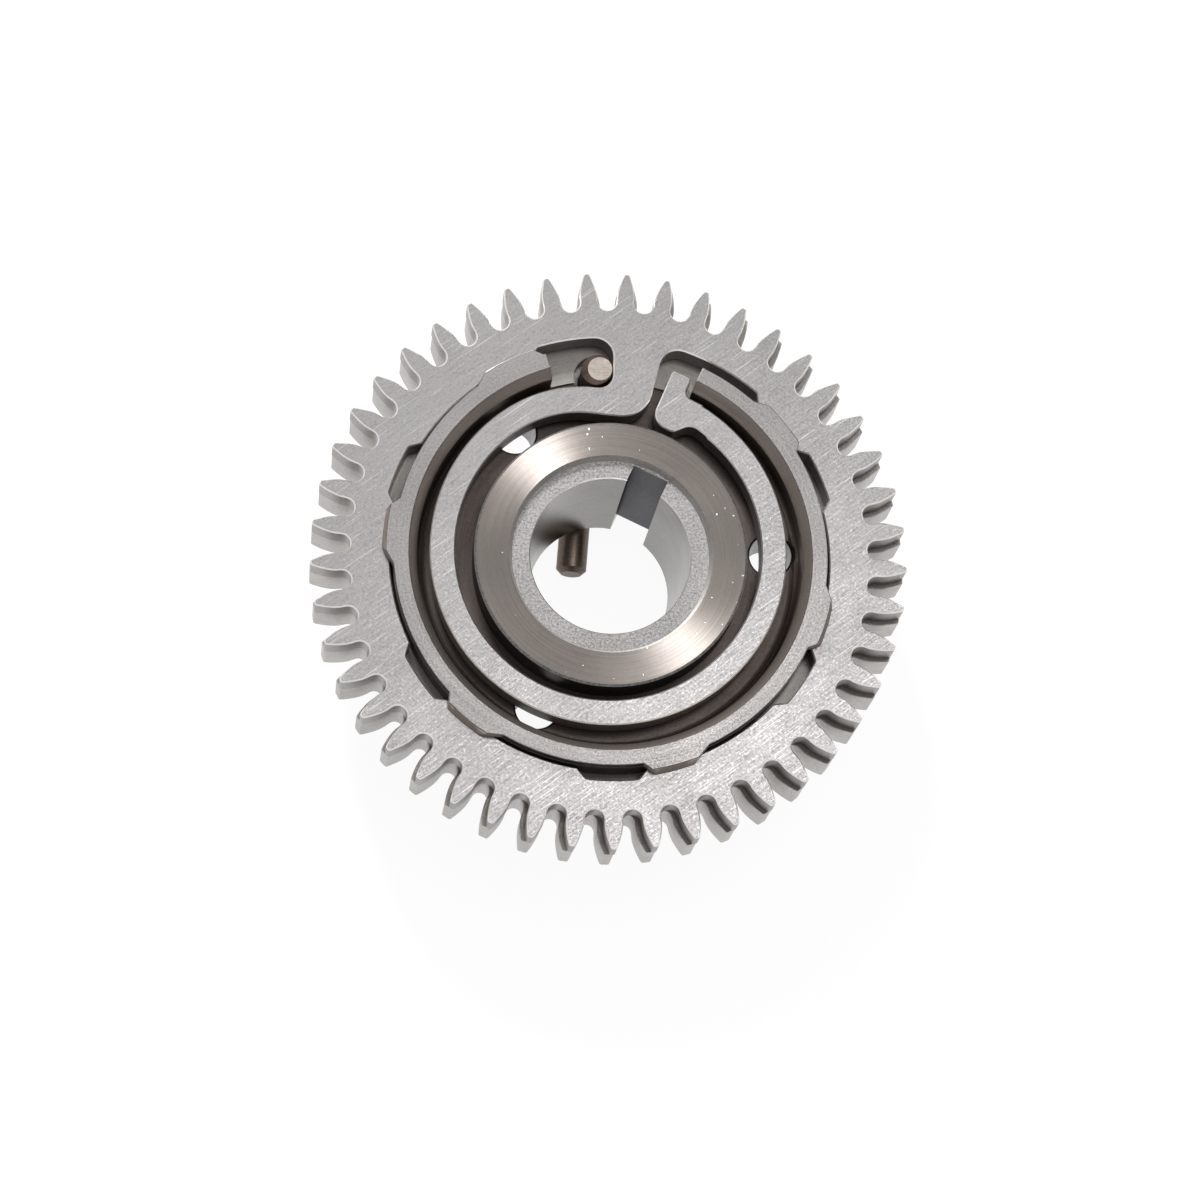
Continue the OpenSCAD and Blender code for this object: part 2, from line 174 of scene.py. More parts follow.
@dataclass(frozen=True)
class Finish:
    """A steel surface: what it is made of and how it was made."""

    name: str
    light: str
    dark: str
    roughness: float
    metallic: float = 1.0
    anisotropy: float = 0.0
    marks: Marks = Marks()
    grain: Grain = Grain()
    scratches: float = 0.0
    nicks: float = 0.0

    def material(self) -> bpy.types.Material:
        """Makes the finish's material, or finds it when it was made before.

        Returns:
            The material, whose patterns lie on the gear's own millimetres.
        """
        if self.name in bpy.data.materials:
            return bpy.data.materials[self.name]
        made = bpy.data.materials.new(self.name)
        made.use_nodes = True
        tree = made.node_tree
        shader = tree.nodes["Principled BSDF"]
        place = add_node(tree, "ShaderNodeTexCoord").outputs["Object"]
        place = add_node(
            tree, "ShaderNodeVectorMath", {0: place, 1: (1 / MM,) * 3}, operation="MULTIPLY"
        ).outputs[0]
        lines = self._marks(tree, place)
        pores = add_node(
            tree,
            "ShaderNodeTexNoise",
            {"Vector": place, "Scale": 1 / self.grain.size, "Detail": 4.0, "Roughness": 0.65},
        ).outputs["Fac"]
        clouds = add_node(
            tree, "ShaderNodeTexNoise", {"Vector": place, "Scale": CLOUDS_PER_MM, "Detail": 2.0}
        ).outputs["Fac"]
        shade = self._sum(
            tree,
            [
                (lines, self.marks.contrast),
                (pores, self.grain.contrast),
                (clouds, CLOUD_CONTRAST),
            ],
        )
        tint = add_node(
            tree,
            "ShaderNodeMix",
            {MIX_FACTOR: shade, MIX_LOWER: linear(self.dark), MIX_UPPER: linear(self.light)},
            data_type="RGBA",
        ).outputs[MIX_RESULT]
        if self.scratches:
            tint = self._scratched(tree, place, tint)
        if self.nicks:
            tint = self._nicked(tree, place, tint)
        tree.links.new(tint, shader.inputs["Base Color"])
        rough = add_node(
            tree,
            "ShaderNodeMapRange",
            {
                "Value": shade,
                "From Min": 0.0,
                "From Max": 1.0,
                "To Min": self.roughness * DARK_ROUGHNESS,
                "To Max": self.roughness * LIGHT_ROUGHNESS,
            },
        )
        tree.links.new(rough.outputs[0], shader.inputs["Roughness"])
        shader.inputs["Metallic"].default_value = self.metallic
        shader.inputs["Anisotropic"].default_value = self.anisotropy
        if self.anisotropy:
            tree.links.new(self._tangent(tree, place), shader.inputs["Tangent"])
        bump = add_node(
            tree,
            "ShaderNodeBump",
            {"Height": pores, "Strength": 1.0, "Distance": self.grain.depth * MM},
        )
        if self.marks.lay is not Lay.NONE:
            bump = add_node(
                tree,
                "ShaderNodeBump",
                {
                    "Height": lines,
                    "Strength": 1.0,
                    "Distance": self.marks.depth * MM,
                    "Normal": bump.outputs[0],
                },
            )
        tree.links.new(bump.outputs[0], shader.inputs["Normal"])
        return made

    def _marks(
        self, tree: bpy.types.NodeTree, place: bpy.types.NodeSocket
    ) -> bpy.types.NodeSocket:
        """Draws the tool marks as a height between 0 and 1.

        Args:
            tree: The material's nodes.
            place: The place on the gear in millimetres.

        Returns:
            The socket that gives the height.
        """
        marks = self.marks
        if marks.lay is Lay.ROUND:
            along = self._round_place(tree, place, 1 / marks.width)
        else:
            along = add_node(
                tree,
                "ShaderNodeMapping",
                {"Vector": place, "Rotation": (0.0, 0.0, -math.radians(marks.angle))},
            ).outputs[0]
            along = add_node(
                tree,
                "ShaderNodeVectorMath",
                {0: along, 1: (1 / marks.length, 1 / marks.width, 1 / marks.width)},
                operation="MULTIPLY",
            ).outputs[0]
        return add_node(
            tree,
            "ShaderNodeTexNoise",
            {"Vector": along, "Scale": 1.0, "Detail": 3.0, "Roughness": 0.6},
        ).outputs["Fac"]

    @staticmethod
    def _round_place(
        tree: bpy.types.NodeTree, place: bpy.types.NodeSocket, per_mm: float
    ) -> bpy.types.NodeSocket:
        """Gives the radius from the gear's axis and the direction round it, as one vector.

        Args:
            tree: The material's nodes.
            place: The place on the gear in millimetres.
            per_mm: How much the vector grows per millimetre of radius and of depth.

        Returns:
            The socket of the vector, which has no seam.
        """
        flat = add_node(
            tree, "ShaderNodeVectorMath", {0: place, 1: (1.0, 1.0, 0.0)}, operation="MULTIPLY"
        ).outputs[0]
        length = add_node(tree, "ShaderNodeVectorMath", {0: flat}, operation="LENGTH")
        radius = length.outputs["Value"]
        way = add_node(
            tree, "ShaderNodeVectorMath", {0: flat}, operation="NORMALIZE"
        ).outputs[0]
        depth = add_node(tree, "ShaderNodeSeparateXYZ", {0: place}).outputs[2]
        both = add_node(
            tree, "ShaderNodeMath", {0: radius, 1: depth}, operation="ADD"
        ).outputs[0]
        rings = add_node(
            tree, "ShaderNodeMath", {0: both, 1: per_mm}, operation="MULTIPLY"
        ).outputs[0]
        parts = add_node(tree, "ShaderNodeSeparateXYZ", {0: way})
        return add_node(
            tree,
            "ShaderNodeCombineXYZ",
            {0: rings, 1: parts.outputs[0], 2: parts.outputs[1]},
        ).outputs[0]

    @staticmethod
    def _tangent(
        tree: bpy.types.NodeTree, place: bpy.types.NodeSocket
    ) -> bpy.types.NodeSocket:
        """Points away from the axis, across turned marks, which spread a highlight that way.

        Args:
            tree: The material's nodes.
            place: The place on the gear in millimetres.

        Returns:
            The socket of the direction.
        """
        flat = add_node(
            tree, "ShaderNodeVectorMath", {0: place, 1: (1.0, 1.0, 0.0)}, operation="MULTIPLY"
        ).outputs[0]
        return add_node(
            tree, "ShaderNodeVectorMath", {0: flat}, operation="NORMALIZE"
        ).outputs[0]

    @staticmethod
    def _sum(
        tree: bpy.types.NodeTree, parts: list[tuple[bpy.types.NodeSocket, float]]
    ) -> bpy.types.NodeSocket:
        """Adds patterns about a middle of a half, each with its own contrast.

        Args:
            tree: The material's nodes.
            parts: Pairs of a pattern between 0 and 1 and its contrast.

        Returns:
            The socket of the sum, held between 0 and 1.
        """
        total: bpy.types.NodeSocket | float = 0.5
        for socket, contrast in parts:
            total = add_node(
                tree,
                "ShaderNodeMath",
                {0: socket, 1: contrast * 4, 2: total},
                operation="MULTIPLY_ADD",
            ).outputs[0]
        # Noise keeps near a half, so it is spread fourfold, and its half of that is taken off
        middle = sum(contrast for _, contrast in parts) * 2
        return add_node(
            tree,
            "ShaderNodeMath",
            {0: total, 1: middle},
            operation="SUBTRACT",
            use_clamp=True,
        ).outputs[0]

    def _scratched(
        self,
        tree: bpy.types.NodeTree,
        place: bpy.types.NodeSocket,
        tint: bpy.types.NodeSocket,
    ) -> bpy.types.NodeSocket:
        """Lays single long scratches over the colour, in two directions.

        Args:
            tree: The material's nodes.
            place: The place on the gear in millimetres.
            tint: The colour so far.

        Returns:
            The socket of the scratched colour.
        """
        for kind in SCRATCH_SETS:
            across = add_node(
                tree,
                "ShaderNodeMapping",
                {
                    "Vector": place,
                    "Location": (SCRATCH_START[0] + kind.turn, SCRATCH_START[1], 0.0),
                    "Rotation": (0.0, 0.0, -math.radians(self.marks.angle + kind.turn)),
                },
            ).outputs[0]
            across = add_node(
                tree,
                "ShaderNodeVectorMath",
                {0: across, 1: SCRATCHES_PER_MM},
                operation="MULTIPLY",
            ).outputs[0]
            line = add_node(
                tree,
                "ShaderNodeTexNoise",
                {"Vector": across, "Scale": 1.0, "Detail": 1.0, "Roughness": 0.5},
            ).outputs["Fac"]
            share = add_node(
                tree,
                "ShaderNodeMapRange",
                {
                    "Value": line,
                    "From Min": kind.rarity + SCRATCH_EDGE[0],
                    "From Max": kind.rarity + SCRATCH_EDGE[1],
                    "To Min": 0.0,
                    "To Max": self.scratches,
                },
            ).outputs[0]
            tint = self._over(tree, share, tint, kind.colour)
        return tint

    def _nicked(
        self,
        tree: bpy.types.NodeTree,
        place: bpy.types.NodeSocket,
        tint: bpy.types.NodeSocket,
    ) -> bpy.types.NodeSocket:
        """Strews small bright nicks over the colour.

        Args:
            tree: The material's nodes.
            place: The place on the gear in millimetres.
            tint: The colour so far.

        Returns:
            The socket of the nicked colour.
        """
        torn = add_node(
            tree,
            "ShaderNodeTexNoise",
            {"Vector": place, "Scale": NICK_TEARS_PER_MM, "Detail": 2.0},
        ).outputs["Color"]
        torn = add_node(
            tree,
            "ShaderNodeVectorMath",
            {0: torn, 1: NICK_TEAR, 2: place},
            operation="MULTIPLY_ADD",
        ).outputs[0]
        cells = add_node(
            tree,
            "ShaderNodeTexVoronoi",
            {"Vector": torn, "Scale": NICK_CELLS_PER_MM, "Randomness": 1.0},
            feature="F1",
        )
        size = add_node(
            tree,
            "ShaderNodeMapRange",
            {
                "Value": cells.outputs["Color"],
                "From Min": NICK_RARITY,
                "From Max": 1.0,
                "To Min": 0.0,
                "To Max": NICK_SIZE,
            },
        ).outputs[0]
        share = add_node(
            tree,
            "ShaderNodeMath",
            {0: cells.outputs["Distance"], 1: size},
            operation="LESS_THAN",
        ).outputs[0]
        share = add_node(
            tree, "ShaderNodeMath", {0: share, 1: self.nicks}, operation="MULTIPLY"
        ).outputs[0]
        return self._over(tree, share, tint, NICK_COLOUR)

    @staticmethod
    def _over(
        tree: bpy.types.NodeTree,
        share: bpy.types.NodeSocket,
        tint: bpy.types.NodeSocket,
        colour: str,
    ) -> bpy.types.NodeSocket:
        """Mixes a plain colour over another.

        Args:
            tree: The material's nodes.
            share: How much of the plain colour shows.
            tint: The colour below.
            colour: The plain colour, as sRGB hex.

        Returns:
            The socket of the mixed colour.
        """
        return add_node(
            tree,
            "ShaderNodeMix",
            {MIX_FACTOR: share, MIX_LOWER: tint, MIX_UPPER: linear(colour)},
            data_type="RGBA",
        ).outputs[MIX_RESULT]


# Steel strip, hardened and ground flat on a belt: long fine grooves that catch the light
GROUND_STEEL = Finish(
    name="ground_steel_face",
    light="#7e7c7c",
    dark="#5a5858",
    roughness=0.3,
    marks=Marks(Lay.STRAIGHT, angle=38.0, width=0.2, length=4.0, contrast=0.36, depth=0.002),
    grain=Grain(size=0.42, contrast=0.5, depth=0.003),
    scratches=0.16,
)

# The plate's cut walls, blanked and shaved: satin and finely grained
BLANKED_STEEL = Finish(
    name="blanked_steel_wall",
    light="#b5b2af",
    dark="#767270",
    roughness=0.38,
    grain=Grain(size=0.3, contrast=0.2, depth=0.004),
)

# Edges of the plate, deburred to bare metal and made paler still as a painted highlight on the
# chamfers
DEBURRED_EDGE_AND_HIGHLIGHT = Finish(
    name="deburred_edge_painted_highlight",
    light="#efedea",
    dark="#c6c3c0",
    roughness=0.32,
    grain=Grain(size=0.5, contrast=0.2, depth=0.002),
)

# Seat under the plate, turned clean: plain grey where a notch or a tooth space shows it
TURNED_SEAT = Finish(
    name="turned_seat",
    light="#787572",
    dark="#524e4b",
    roughness=0.4,
    marks=Marks(Lay.ROUND, width=0.35, contrast=0.12, depth=0.003),
    grain=Grain(size=0.3, contrast=0.24, depth=0.005),
)

# Pressed and sintered iron powder, turned on its top: dull grey with fine open pores
SINTERED_STEEL = Finish(
    name="pressed_sintered_steel",
    light="#777473",
    dark="#504e4d",
    roughness=0.31,
    marks=Marks(Lay.ROUND, width=0.35, contrast=0.16, depth=0.003),
    grain=Grain(size=0.32, contrast=0.55, depth=0.008),
)

# Rims of the lugs, browned by hardening, with painted light: a pale colour lifts the shade on
# their outer walls
LUG_RIM_PAINTED_LIGHT = Finish(
    name="lug_rim_painted_light",
    light="#d6c8be",
    dark="#9c8d83",
    roughness=0.42,
    grain=Grain(size=0.3, contrast=0.3, depth=0.005),
)

# The teeth of the sintered body, shaved bright on their flanks
SHAVED_TEETH = Finish(
    name="shaved_tooth_flank",
    light="#d3d0cd",
    dark="#8d8986",
    roughness=0.4,
    grain=Grain(size=0.3, contrast=0.2, depth=0.004),
)

# Hub face turned on a lathe: round grooves throw the light back as bright fans
TURNED_STEEL = Finish(
    name="turned_steel_face",
    light="#75706c",
    dark="#595350",
    roughness=0.4,
    anisotropy=0.95,
    marks=Marks(Lay.ROUND, width=0.28, contrast=0.22, depth=0.0025),
    grain=Grain(size=0.4, contrast=0.1, depth=0.002),
    nicks=0.9,
)

# Land round the bore's mouth, left as pressed: pale and grainy
PRESSED_LAND = Finish(
    name="pressed_steel_land",
    light="#7d7b7a",
    dark="#555453",
    roughness=0.46,
    grain=Grain(size=0.36, contrast=0.85, depth=0.012),
)

# Step down to the land: painted highlight, a pale colour that stands in for the light its wall
# catches
STEP_PAINTED_HIGHLIGHT = Finish(
    name="step_painted_highlight",
    light="#f2efec",
    dark="#bcb8b4",
    roughness=0.34,
    grain=Grain(size=0.4, contrast=0.4, depth=0.004),
)

# Taper bore, reamed and oiled: smooth, so that it mirrors what stands round it
REAMED_BORE = Finish(
    name="reamed_bore",
    light="#94918e",
    dark="#6d6a67",
    roughness=0.24,
    marks=Marks(Lay.ROUND, width=0.5, contrast=0.14, depth=0.001),
    grain=Grain(size=0.6, contrast=0.1, depth=0.001),
)

# Keyway, broached along the bore, and darker than the bore
BROACHED_KEYWAY = Finish(
    name="broached_keyway",
    light="#545358",
    dark="#37363a",
    roughness=0.42,
    grain=Grain(size=0.4, contrast=0.16, depth=0.002),
)

# Bevel of the rim ring, turned and then browned by the heat of hardening
BROWNED_BEVEL = Finish(
    name="browned_bevel",
    light="#8f8680",
    dark="#635b56",
    roughness=0.42,
    marks=Marks(Lay.ROUND, width=0.3, contrast=0.16, depth=0.003),
    grain=Grain(size=0.35, contrast=0.16, depth=0.003),
)

# Groove walls and floor, browned by hardening and never machined again
BROWNED_GROOVE = Finish(
    name="browned_groove",
    light="#7c7169",
    dark="#4b423c",
    roughness=0.46,
    marks=Marks(Lay.ROUND, width=0.5, contrast=0.14, depth=0.004),
    grain=Grain(size=0.4, contrast=0.2, depth=0.005),
)

# Groove next to the hub, painted dark: painted shade in the deep corner by the hub's wall
GROOVE_PAINTED_SHADE = Finish(
    name="groove_painted_shade",
    light="#4a4340",
    dark="#2b2725",
    roughness=0.4,
    marks=Marks(Lay.ROUND, width=0.5, contrast=0.14, depth=0.004),
    grain=Grain(size=0.4, contrast=0.2, depth=0.005),
)

# Drawn spring wire, dark brown from its heat treatment
DARK_WIRE = Finish(
    name="dark_drawn_wire",
    light="#7a6d64",
    dark="#4a3f38",
    roughness=0.4,
    grain=Grain(size=0.5, contrast=0.22, depth=0.004),
)

# End of the wire where it was sheared: torn, pale and grainy
SHEARED_END = Finish(
    name="sheared_wire_end",
    light="#857f79",
    dark="#554f49",
    roughness=0.5,
    grain=Grain(size=0.6, contrast=0.22, depth=0.01),
)


def select_only(piece: bpy.types.Object) -> None:
    """Leaves one object selected and active, and every other one not."""
    bpy.ops.object.select_all(action="DESELECT")
    piece.select_set(True)
    bpy.context.view_layer.objects.active = piece


class Cut(Enum):
    """What a tool solid does to a piece: takes its own room off, keeps that alone, or joins."""

    OFF = "DIFFERENCE"
    WITHIN = "INTERSECT"
    JOINED = "UNION"


def cut(piece: bpy.types.Object, tool: bpy.types.Object, how: Cut) -> None:
    """Cuts a piece with a tool solid or joins the two, and throws the tool away.

    Args:
        piece: The piece that is changed.
        tool: The closed solid that changes it.
        how: What the tool does to the piece.
    """
    select_only(piece)
    step = piece.modifiers.new("cut", "BOOLEAN")
    step.operation = how.value
    step.solver = "EXACT"
    step.object = tool
    bpy.ops.object.modifier_apply(modifier=step.name)
    bpy.data.objects.remove(tool)


def turned_copy(piece: bpy.types.Object, angle: float) -> bpy.types.Object:
    """Copies a piece, with its own mesh, and turns the copy round the gear's axis.

    Args:
        piece: The piece that is copied.
        angle: The turn in degrees, anticlockwise from the front.

    Returns:
        The copy, its turn applied to its mesh.
    """
    select_only(piece)
    bpy.ops.object.duplicate(linked=False)
    copy = bpy.context.view_layer.objects.active
    copy.rotation_euler.z = math.radians(angle)
    bpy.ops.object.transform_apply(location=True, rotation=True, scale=True)
    return copy


@dataclass(frozen=True)
class Level:
    """A level with flat faces, in millimetres, whose outline beyond a radius gets a chamfer."""

    height: float
    side: int = 1
    inside: float = 0.0
    slack: float = 0.02


@dataclass
class Piece:
    """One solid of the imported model, copied and dressed.

    The copy stands where the solid stands and is shown in its place.
    """

    node: str
    body: str
    slot: str
    levels: tuple[Level, ...] = ()
    edge_break: float = 0.12
    smooth_angle: float = 28.0
    merge: float = 0.0005
    # Least height of the normal of a face that gets a chamfer, and of one that is shaded flat
    chamfered_over: float = 0.99
    flat_over: float = 0.9999

    def build(self) -> bpy.types.Object:
        """Copies the solid's mesh, merges it, breaks its edges and dresses its faces.

        Returns:
            The finished piece, riding on its body.
        """
        piece = self.merged_copy()
        self.reshape(piece)
        self.break_edges(piece)
        self.dress(piece)
        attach(piece, self.body)
        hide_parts(self.node)
        LOG.info("%s: %d faces", piece.name, len(piece.data.polygons))
        return piece

    def merged_copy(self) -> bpy.types.Object:
        """Copies the node and turns the loose triangles of the copy into one closed skin.

        Returns:
            The copy, named after its node.
        """
        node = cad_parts[self.node]
        select_only(node)
        bpy.ops.object.duplicate(linked=False)
        piece = bpy.context.view_layer.objects.active
        bpy.ops.mesh.customdata_custom_splitnormals_clear()
        piece.name = self.node + "_dressed"
        for key in [k for k in piece.keys() if k.startswith("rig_")]:
            del piece[key]
        bpy.ops.object.mode_set(mode="EDIT")
        bpy.ops.mesh.select_all(action="SELECT")
        bpy.ops.mesh.remove_doubles(threshold=self.merge * MM)
        bpy.ops.object.mode_set(mode="OBJECT")
        return piece

    def reshape(self, piece: bpy.types.Object) -> None:
        """Remodels what the finished piece shows finer than the solid: nothing, by default."""

    def break_edges(self, piece: bpy.types.Object) -> None:
        """Chamfers the outlines of the piece's flat faces, and shades it smooth between them.

        Args:
            piece: The merged copy.
        """
        select_only(piece)
        for level in self.levels:
            self.chamfer(piece, level)
        bpy.ops.object.shade_smooth_by_angle(angle=math.radians(self.smooth_angle))
        for face in piece.data.polygons:
            if abs(face.normal.z) > self.flat_over:
                face.use_smooth = False

    def chamfer(self, piece: bpy.types.Object, level: Level) -> None:
        """Insets the flat faces at one level and sinks their old outline by as much.

        Args:
            piece: The merged copy, selected.
            level: The level and which way its faces look.
        """
        bpy.ops.object.mode_set(mode="EDIT")
        bpy.ops.mesh.select_mode(type="FACE")
        bpy.ops.mesh.select_all(action="DESELECT")
        bpy.ops.object.mode_set(mode="OBJECT")
        mesh = piece.data
        for face in mesh.polygons:
            flat = face.normal.z * level.side > self.chamfered_over
            face.select = flat and abs(face.center.z / MM - level.height) < level.slack
        bpy.ops.object.mode_set(mode="EDIT")
        bpy.ops.mesh.inset(thickness=self.edge_break * MM, use_even_offset=True)
        bpy.ops.object.mode_set(mode="OBJECT")
        inner = {v for face in mesh.polygons if face.select for v in face.vertices}
        for corner in mesh.vertices:
            outline = abs(corner.co.z / MM - level.height) < level.slack
            beyond = corner.co.xy.length / MM > level.inside
            if outline and beyond and corner.index not in inner:
                corner.co.z -= level.side * self.edge_break * MM

    def finish_at(self, middle: Vector, normal: Vector) -> Finish:
        """Says which finish a face has, from its middle in millimetres and its normal."""
        raise NotImplementedError

    def dress(self, piece: bpy.types.Object) -> None:
        """Gives each face the material of its finish.

        Args:
            piece: The piece, with its edges broken.
        """
        piece.data.materials.clear()
        slots: dict[str, int] = {}
        for face in piece.data.polygons:
            finish = self.finish_at(face.center / MM, face.normal)
            if finish.name not in slots:
                slots[finish.name] = len(slots)
                piece.data.materials.append(finish.material())
            face.material_index = slots[finish.name]


@dataclass
class MainGear(Piece):
    """The sintered gear: taper bore, hub, groove, rim ring with its lugs, and the teeth."""

    node: str = "main_gear"
    body: str = "main_gear"
    slot: str = "sintered_steel"
    levels: tuple[Level, ...] = (
        Level(1.9),
        Level(-4.55, inside=40.0),
        Level(-12.0, side=-1, inside=40.0),
    )
    ring_top_z: float = 1.9
    ring_out_r: float = 34.55
    lug_r: float = 36.2
    lug_z: float = 0.1
    lug_draft: float = 0.6
    lugs: int = 6
    lug_pitch: float = 56.0
    lug_middle: float = 120.5
    # Sideways places of a lug's ends, at the ring and at the lug's own radius
    lug_before: tuple[float, float] = (-4.9, -3.65)
    first_before: tuple[float, float] = (-5.96, -4.68)
    lug_after: tuple[float, float] = (4.83, 2.45)
    # How deep a lug's block reaches into the ring, and how far past the lug's rim
    lug_root: float = 0.9
    lug_spare: float = 0.4
    # The facing cut: thickness of its chip, reach and height of its tool, and the radius from
    # which the doubles that it leaves are merged
    chip: float = 0.004
    facing_r: float = 38.2
    facing_height: float = 3.0
    merge_r: float = 31.55
    # Least gap between a cut and what it spares, how far lugs stand out before they are faced,
    # and how far a tool reaches past what it cuts
    skim: float = 0.05
    proud: float = 0.3
    room: float = 1.0
    round_steps: int = 288
    # Radii that part the zones of the finishes, from the bore outward
    keyway_r: float = 13.4
    mouth_r: float = 15.9
    step_r: float = 16.4
    hub_edge_r: float = 21.0
    hub_r: float = 21.9
    # Inside this radius the groove carries painted shade
    shaded_groove_r: float = 28.5
    bevel_in_r: float = 30.6
    groove_r: float = 30.8
    bevel_out_r: float = 32.1
    lug_rim_r: float = 35.2
    teeth_r: float = 40.5
    # Heights that part them, from the back forward
    groove_z: float = -5.2
    below_seat_z: float = -4.85
    seat_z: float = -4.55
    seat_slack: float = 0.2
    bevel_z: float = -0.3
    plate_z: float = 0.05
    land_z: float = 0.2
    below_top_z: float = 1.8
    # Heights of a face's normal: under the first it is a wall, over the last it is level
    wall_under: float = 0.35
    rim_under: float = 0.5
    level_over: float = 0.9
    key_angle: float = 66.0
    key_half: float = 3.05

    def reshape(self, piece: bpy.types.Object) -> None:
        """Takes the solid's lugs off and sets lugs with slanted ends in their place.

        Args:
            piece: The merged copy.
        """
        cut(piece, self.lug_sleeve(), Cut.OFF)
        lug = self.slanted_lug(self.lug_before)
        for number in range(1, self.lugs):
            cut(piece, turned_copy(lug, number * self.lug_pitch), Cut.JOINED)
        bpy.data.objects.remove(lug)
        cut(piece, self.slanted_lug(self.first_before), Cut.JOINED)
        self.face_top(piece)

    def face_top(self, piece: bpy.types.Object) -> None:
        """Takes ring and lugs down to one level, as the facing cut on the lathe does.

        Args:
            piece: The gear, with lugs that stand a little over the ring.
        """
        bpy.ops.object.select_all(action="DESELECT")
        bpy.ops.mesh.primitive_cylinder_add(
            vertices=self.round_steps,
            radius=self.facing_r * MM,
            depth=self.facing_height * MM,
            location=(0, 0, (self.ring_top_z - self.chip + self.facing_height / 2) * MM),
        )
        facing = bpy.context.view_layer.objects.active
        bpy.ops.object.transform_apply(location=True, rotation=True, scale=True)
        cut(piece, facing, Cut.OFF)
        select_only(piece)
        bpy.ops.object.mode_set(mode="EDIT")
        bpy.ops.mesh.select_mode(type="VERT")
        bpy.ops.mesh.select_all(action="DESELECT")
        bpy.ops.object.mode_set(mode="OBJECT")
        for corner in piece.data.vertices:
            if corner.co.z > (self.ring_top_z - 2 * self.chip) * MM:
                corner.co.z = self.ring_top_z * MM
            on_ring = corner.co.xy.length > self.merge_r * MM
            corner.select = on_ring and corner.co.z > 2 * self.lug_z * MM
        bpy.ops.object.mode_set(mode="EDIT")
        bpy.ops.mesh.remove_doubles(threshold=0.9 * self.skim * MM)
        bpy.ops.object.mode_set(mode="OBJECT")

    def lug_sleeve(self) -> bpy.types.Object:
        """Makes a sleeve that holds all that stands out from the rim ring over the plate.

        Returns:
            The sleeve, as a closed tube.
        """
        bpy.ops.object.select_all(action="DESELECT")
        bpy.ops.mesh.primitive_circle_add(
            vertices=self.round_steps,
            radius=(self.ring_out_r - self.skim) * MM,
            location=(0, 0, self.skim * MM),
        )
        sleeve = bpy.context.view_layer.objects.active
        bpy.ops.object.transform_apply(location=True, rotation=True, scale=True)
        bpy.ops.object.mode_set(mode="EDIT")
        bpy.ops.mesh.select_all(action="SELECT")
        wider = (self.lug_r + self.room) / (self.ring_out_r - self.skim)
        bpy.ops.mesh.extrude_edges_move()
        bpy.ops.transform.resize(value=(wider, wider, 1), center_override=(0, 0, 0))
        bpy.ops.mesh.select_all(action="SELECT")
        bpy.ops.mesh.extrude_region_move(
            TRANSFORM_OT_translate={"value": (0, 0, (self.ring_top_z + self.room) * MM)}
        )
        bpy.ops.mesh.select_all(action="SELECT")
        bpy.ops.mesh.normals_make_consistent(inside=False)
        bpy.ops.object.mode_set(mode="OBJECT")
        return sleeve

    def slanted_lug(self, before: tuple[float, float]) -> bpy.types.Object:
        """Makes a lug at the first place: a disc with a drafted rim, cut by a slanted block.

        Args:
            before: Sideways places of the lug's clockwise end, at the ring and at its tip.

        Returns:
            The lug, in its place.
        """
        height = self.ring_top_z + self.proud - self.lug_z
        bpy.ops.object.select_all(action="DESELECT")
        bpy.ops.mesh.primitive_cone_add(
            vertices=self.round_steps,
            radius1=self.lug_r * MM,
            radius2=(self.lug_r - self.lug_draft) * MM,
            depth=height * MM,
            location=(0, 0, (self.lug_z + height / 2) * MM),
        )
        lug = bpy.context.view_layer.objects.active
        lug.name = "lug"
        bpy.ops.object.transform_apply(location=True, rotation=True, scale=True)
        inner, outer = self.ring_out_r - self.lug_root, self.lug_r + self.lug_spare
        reach = self.lug_r - self.ring_out_r
        bpy.ops.object.select_all(action="DESELECT")
        bpy.ops.mesh.primitive_cube_add(size=MM, location=(0, 0, 0))
        block = bpy.context.view_layer.objects.active
        for corner in block.data.vertices:
            far = corner.co.x > 0
            after = corner.co.y > 0
            radius = outer if far else inner
            slant = (radius - self.ring_out_r) / reach
            foot, tip = self.lug_after if after else before
            corner.co.x = radius * MM
            corner.co.y = (foot + (tip - foot) * slant) * MM
            above = corner.co.z > 0
            corner.co.z = (self.ring_top_z + self.room if above else -self.room) * MM
        block.rotation_euler.z = math.radians(self.lug_middle)
        select_only(block)
        bpy.ops.object.transform_apply(location=True, rotation=True, scale=True)
        cut(lug, block, Cut.WITHIN)
        return lug

    def finish_at(self, middle: Vector, normal: Vector) -> Finish:
        """Finds the finish of a face of the gear.

        Args:
            middle: The middle of the face, in millimetres.
            normal: The direction that the face looks in.

        Returns:
            The finish of the zone that the face is in.
        """
        radius = middle.xy.length
        level = normal.z > self.level_over
        if radius < self.mouth_r and abs(normal.z) < self.wall_under:
            return self.bore_finish_at(middle)
        if level and abs(middle.z - self.ring_top_z) < self.skim:
            return SINTERED_STEEL
        if level and abs(middle.z - self.seat_z) < self.seat_slack:
            return TURNED_SEAT
        if radius > self.teeth_r and abs(normal.z) < self.level_over:
            return SHAVED_TEETH
        if middle.z < self.below_seat_z:
            in_groove = radius < self.groove_r and middle.z > self.groove_z
            # The groove's floor by the hub gets painted shade
            return GROOVE_PAINTED_SHADE if in_groove else SINTERED_STEEL
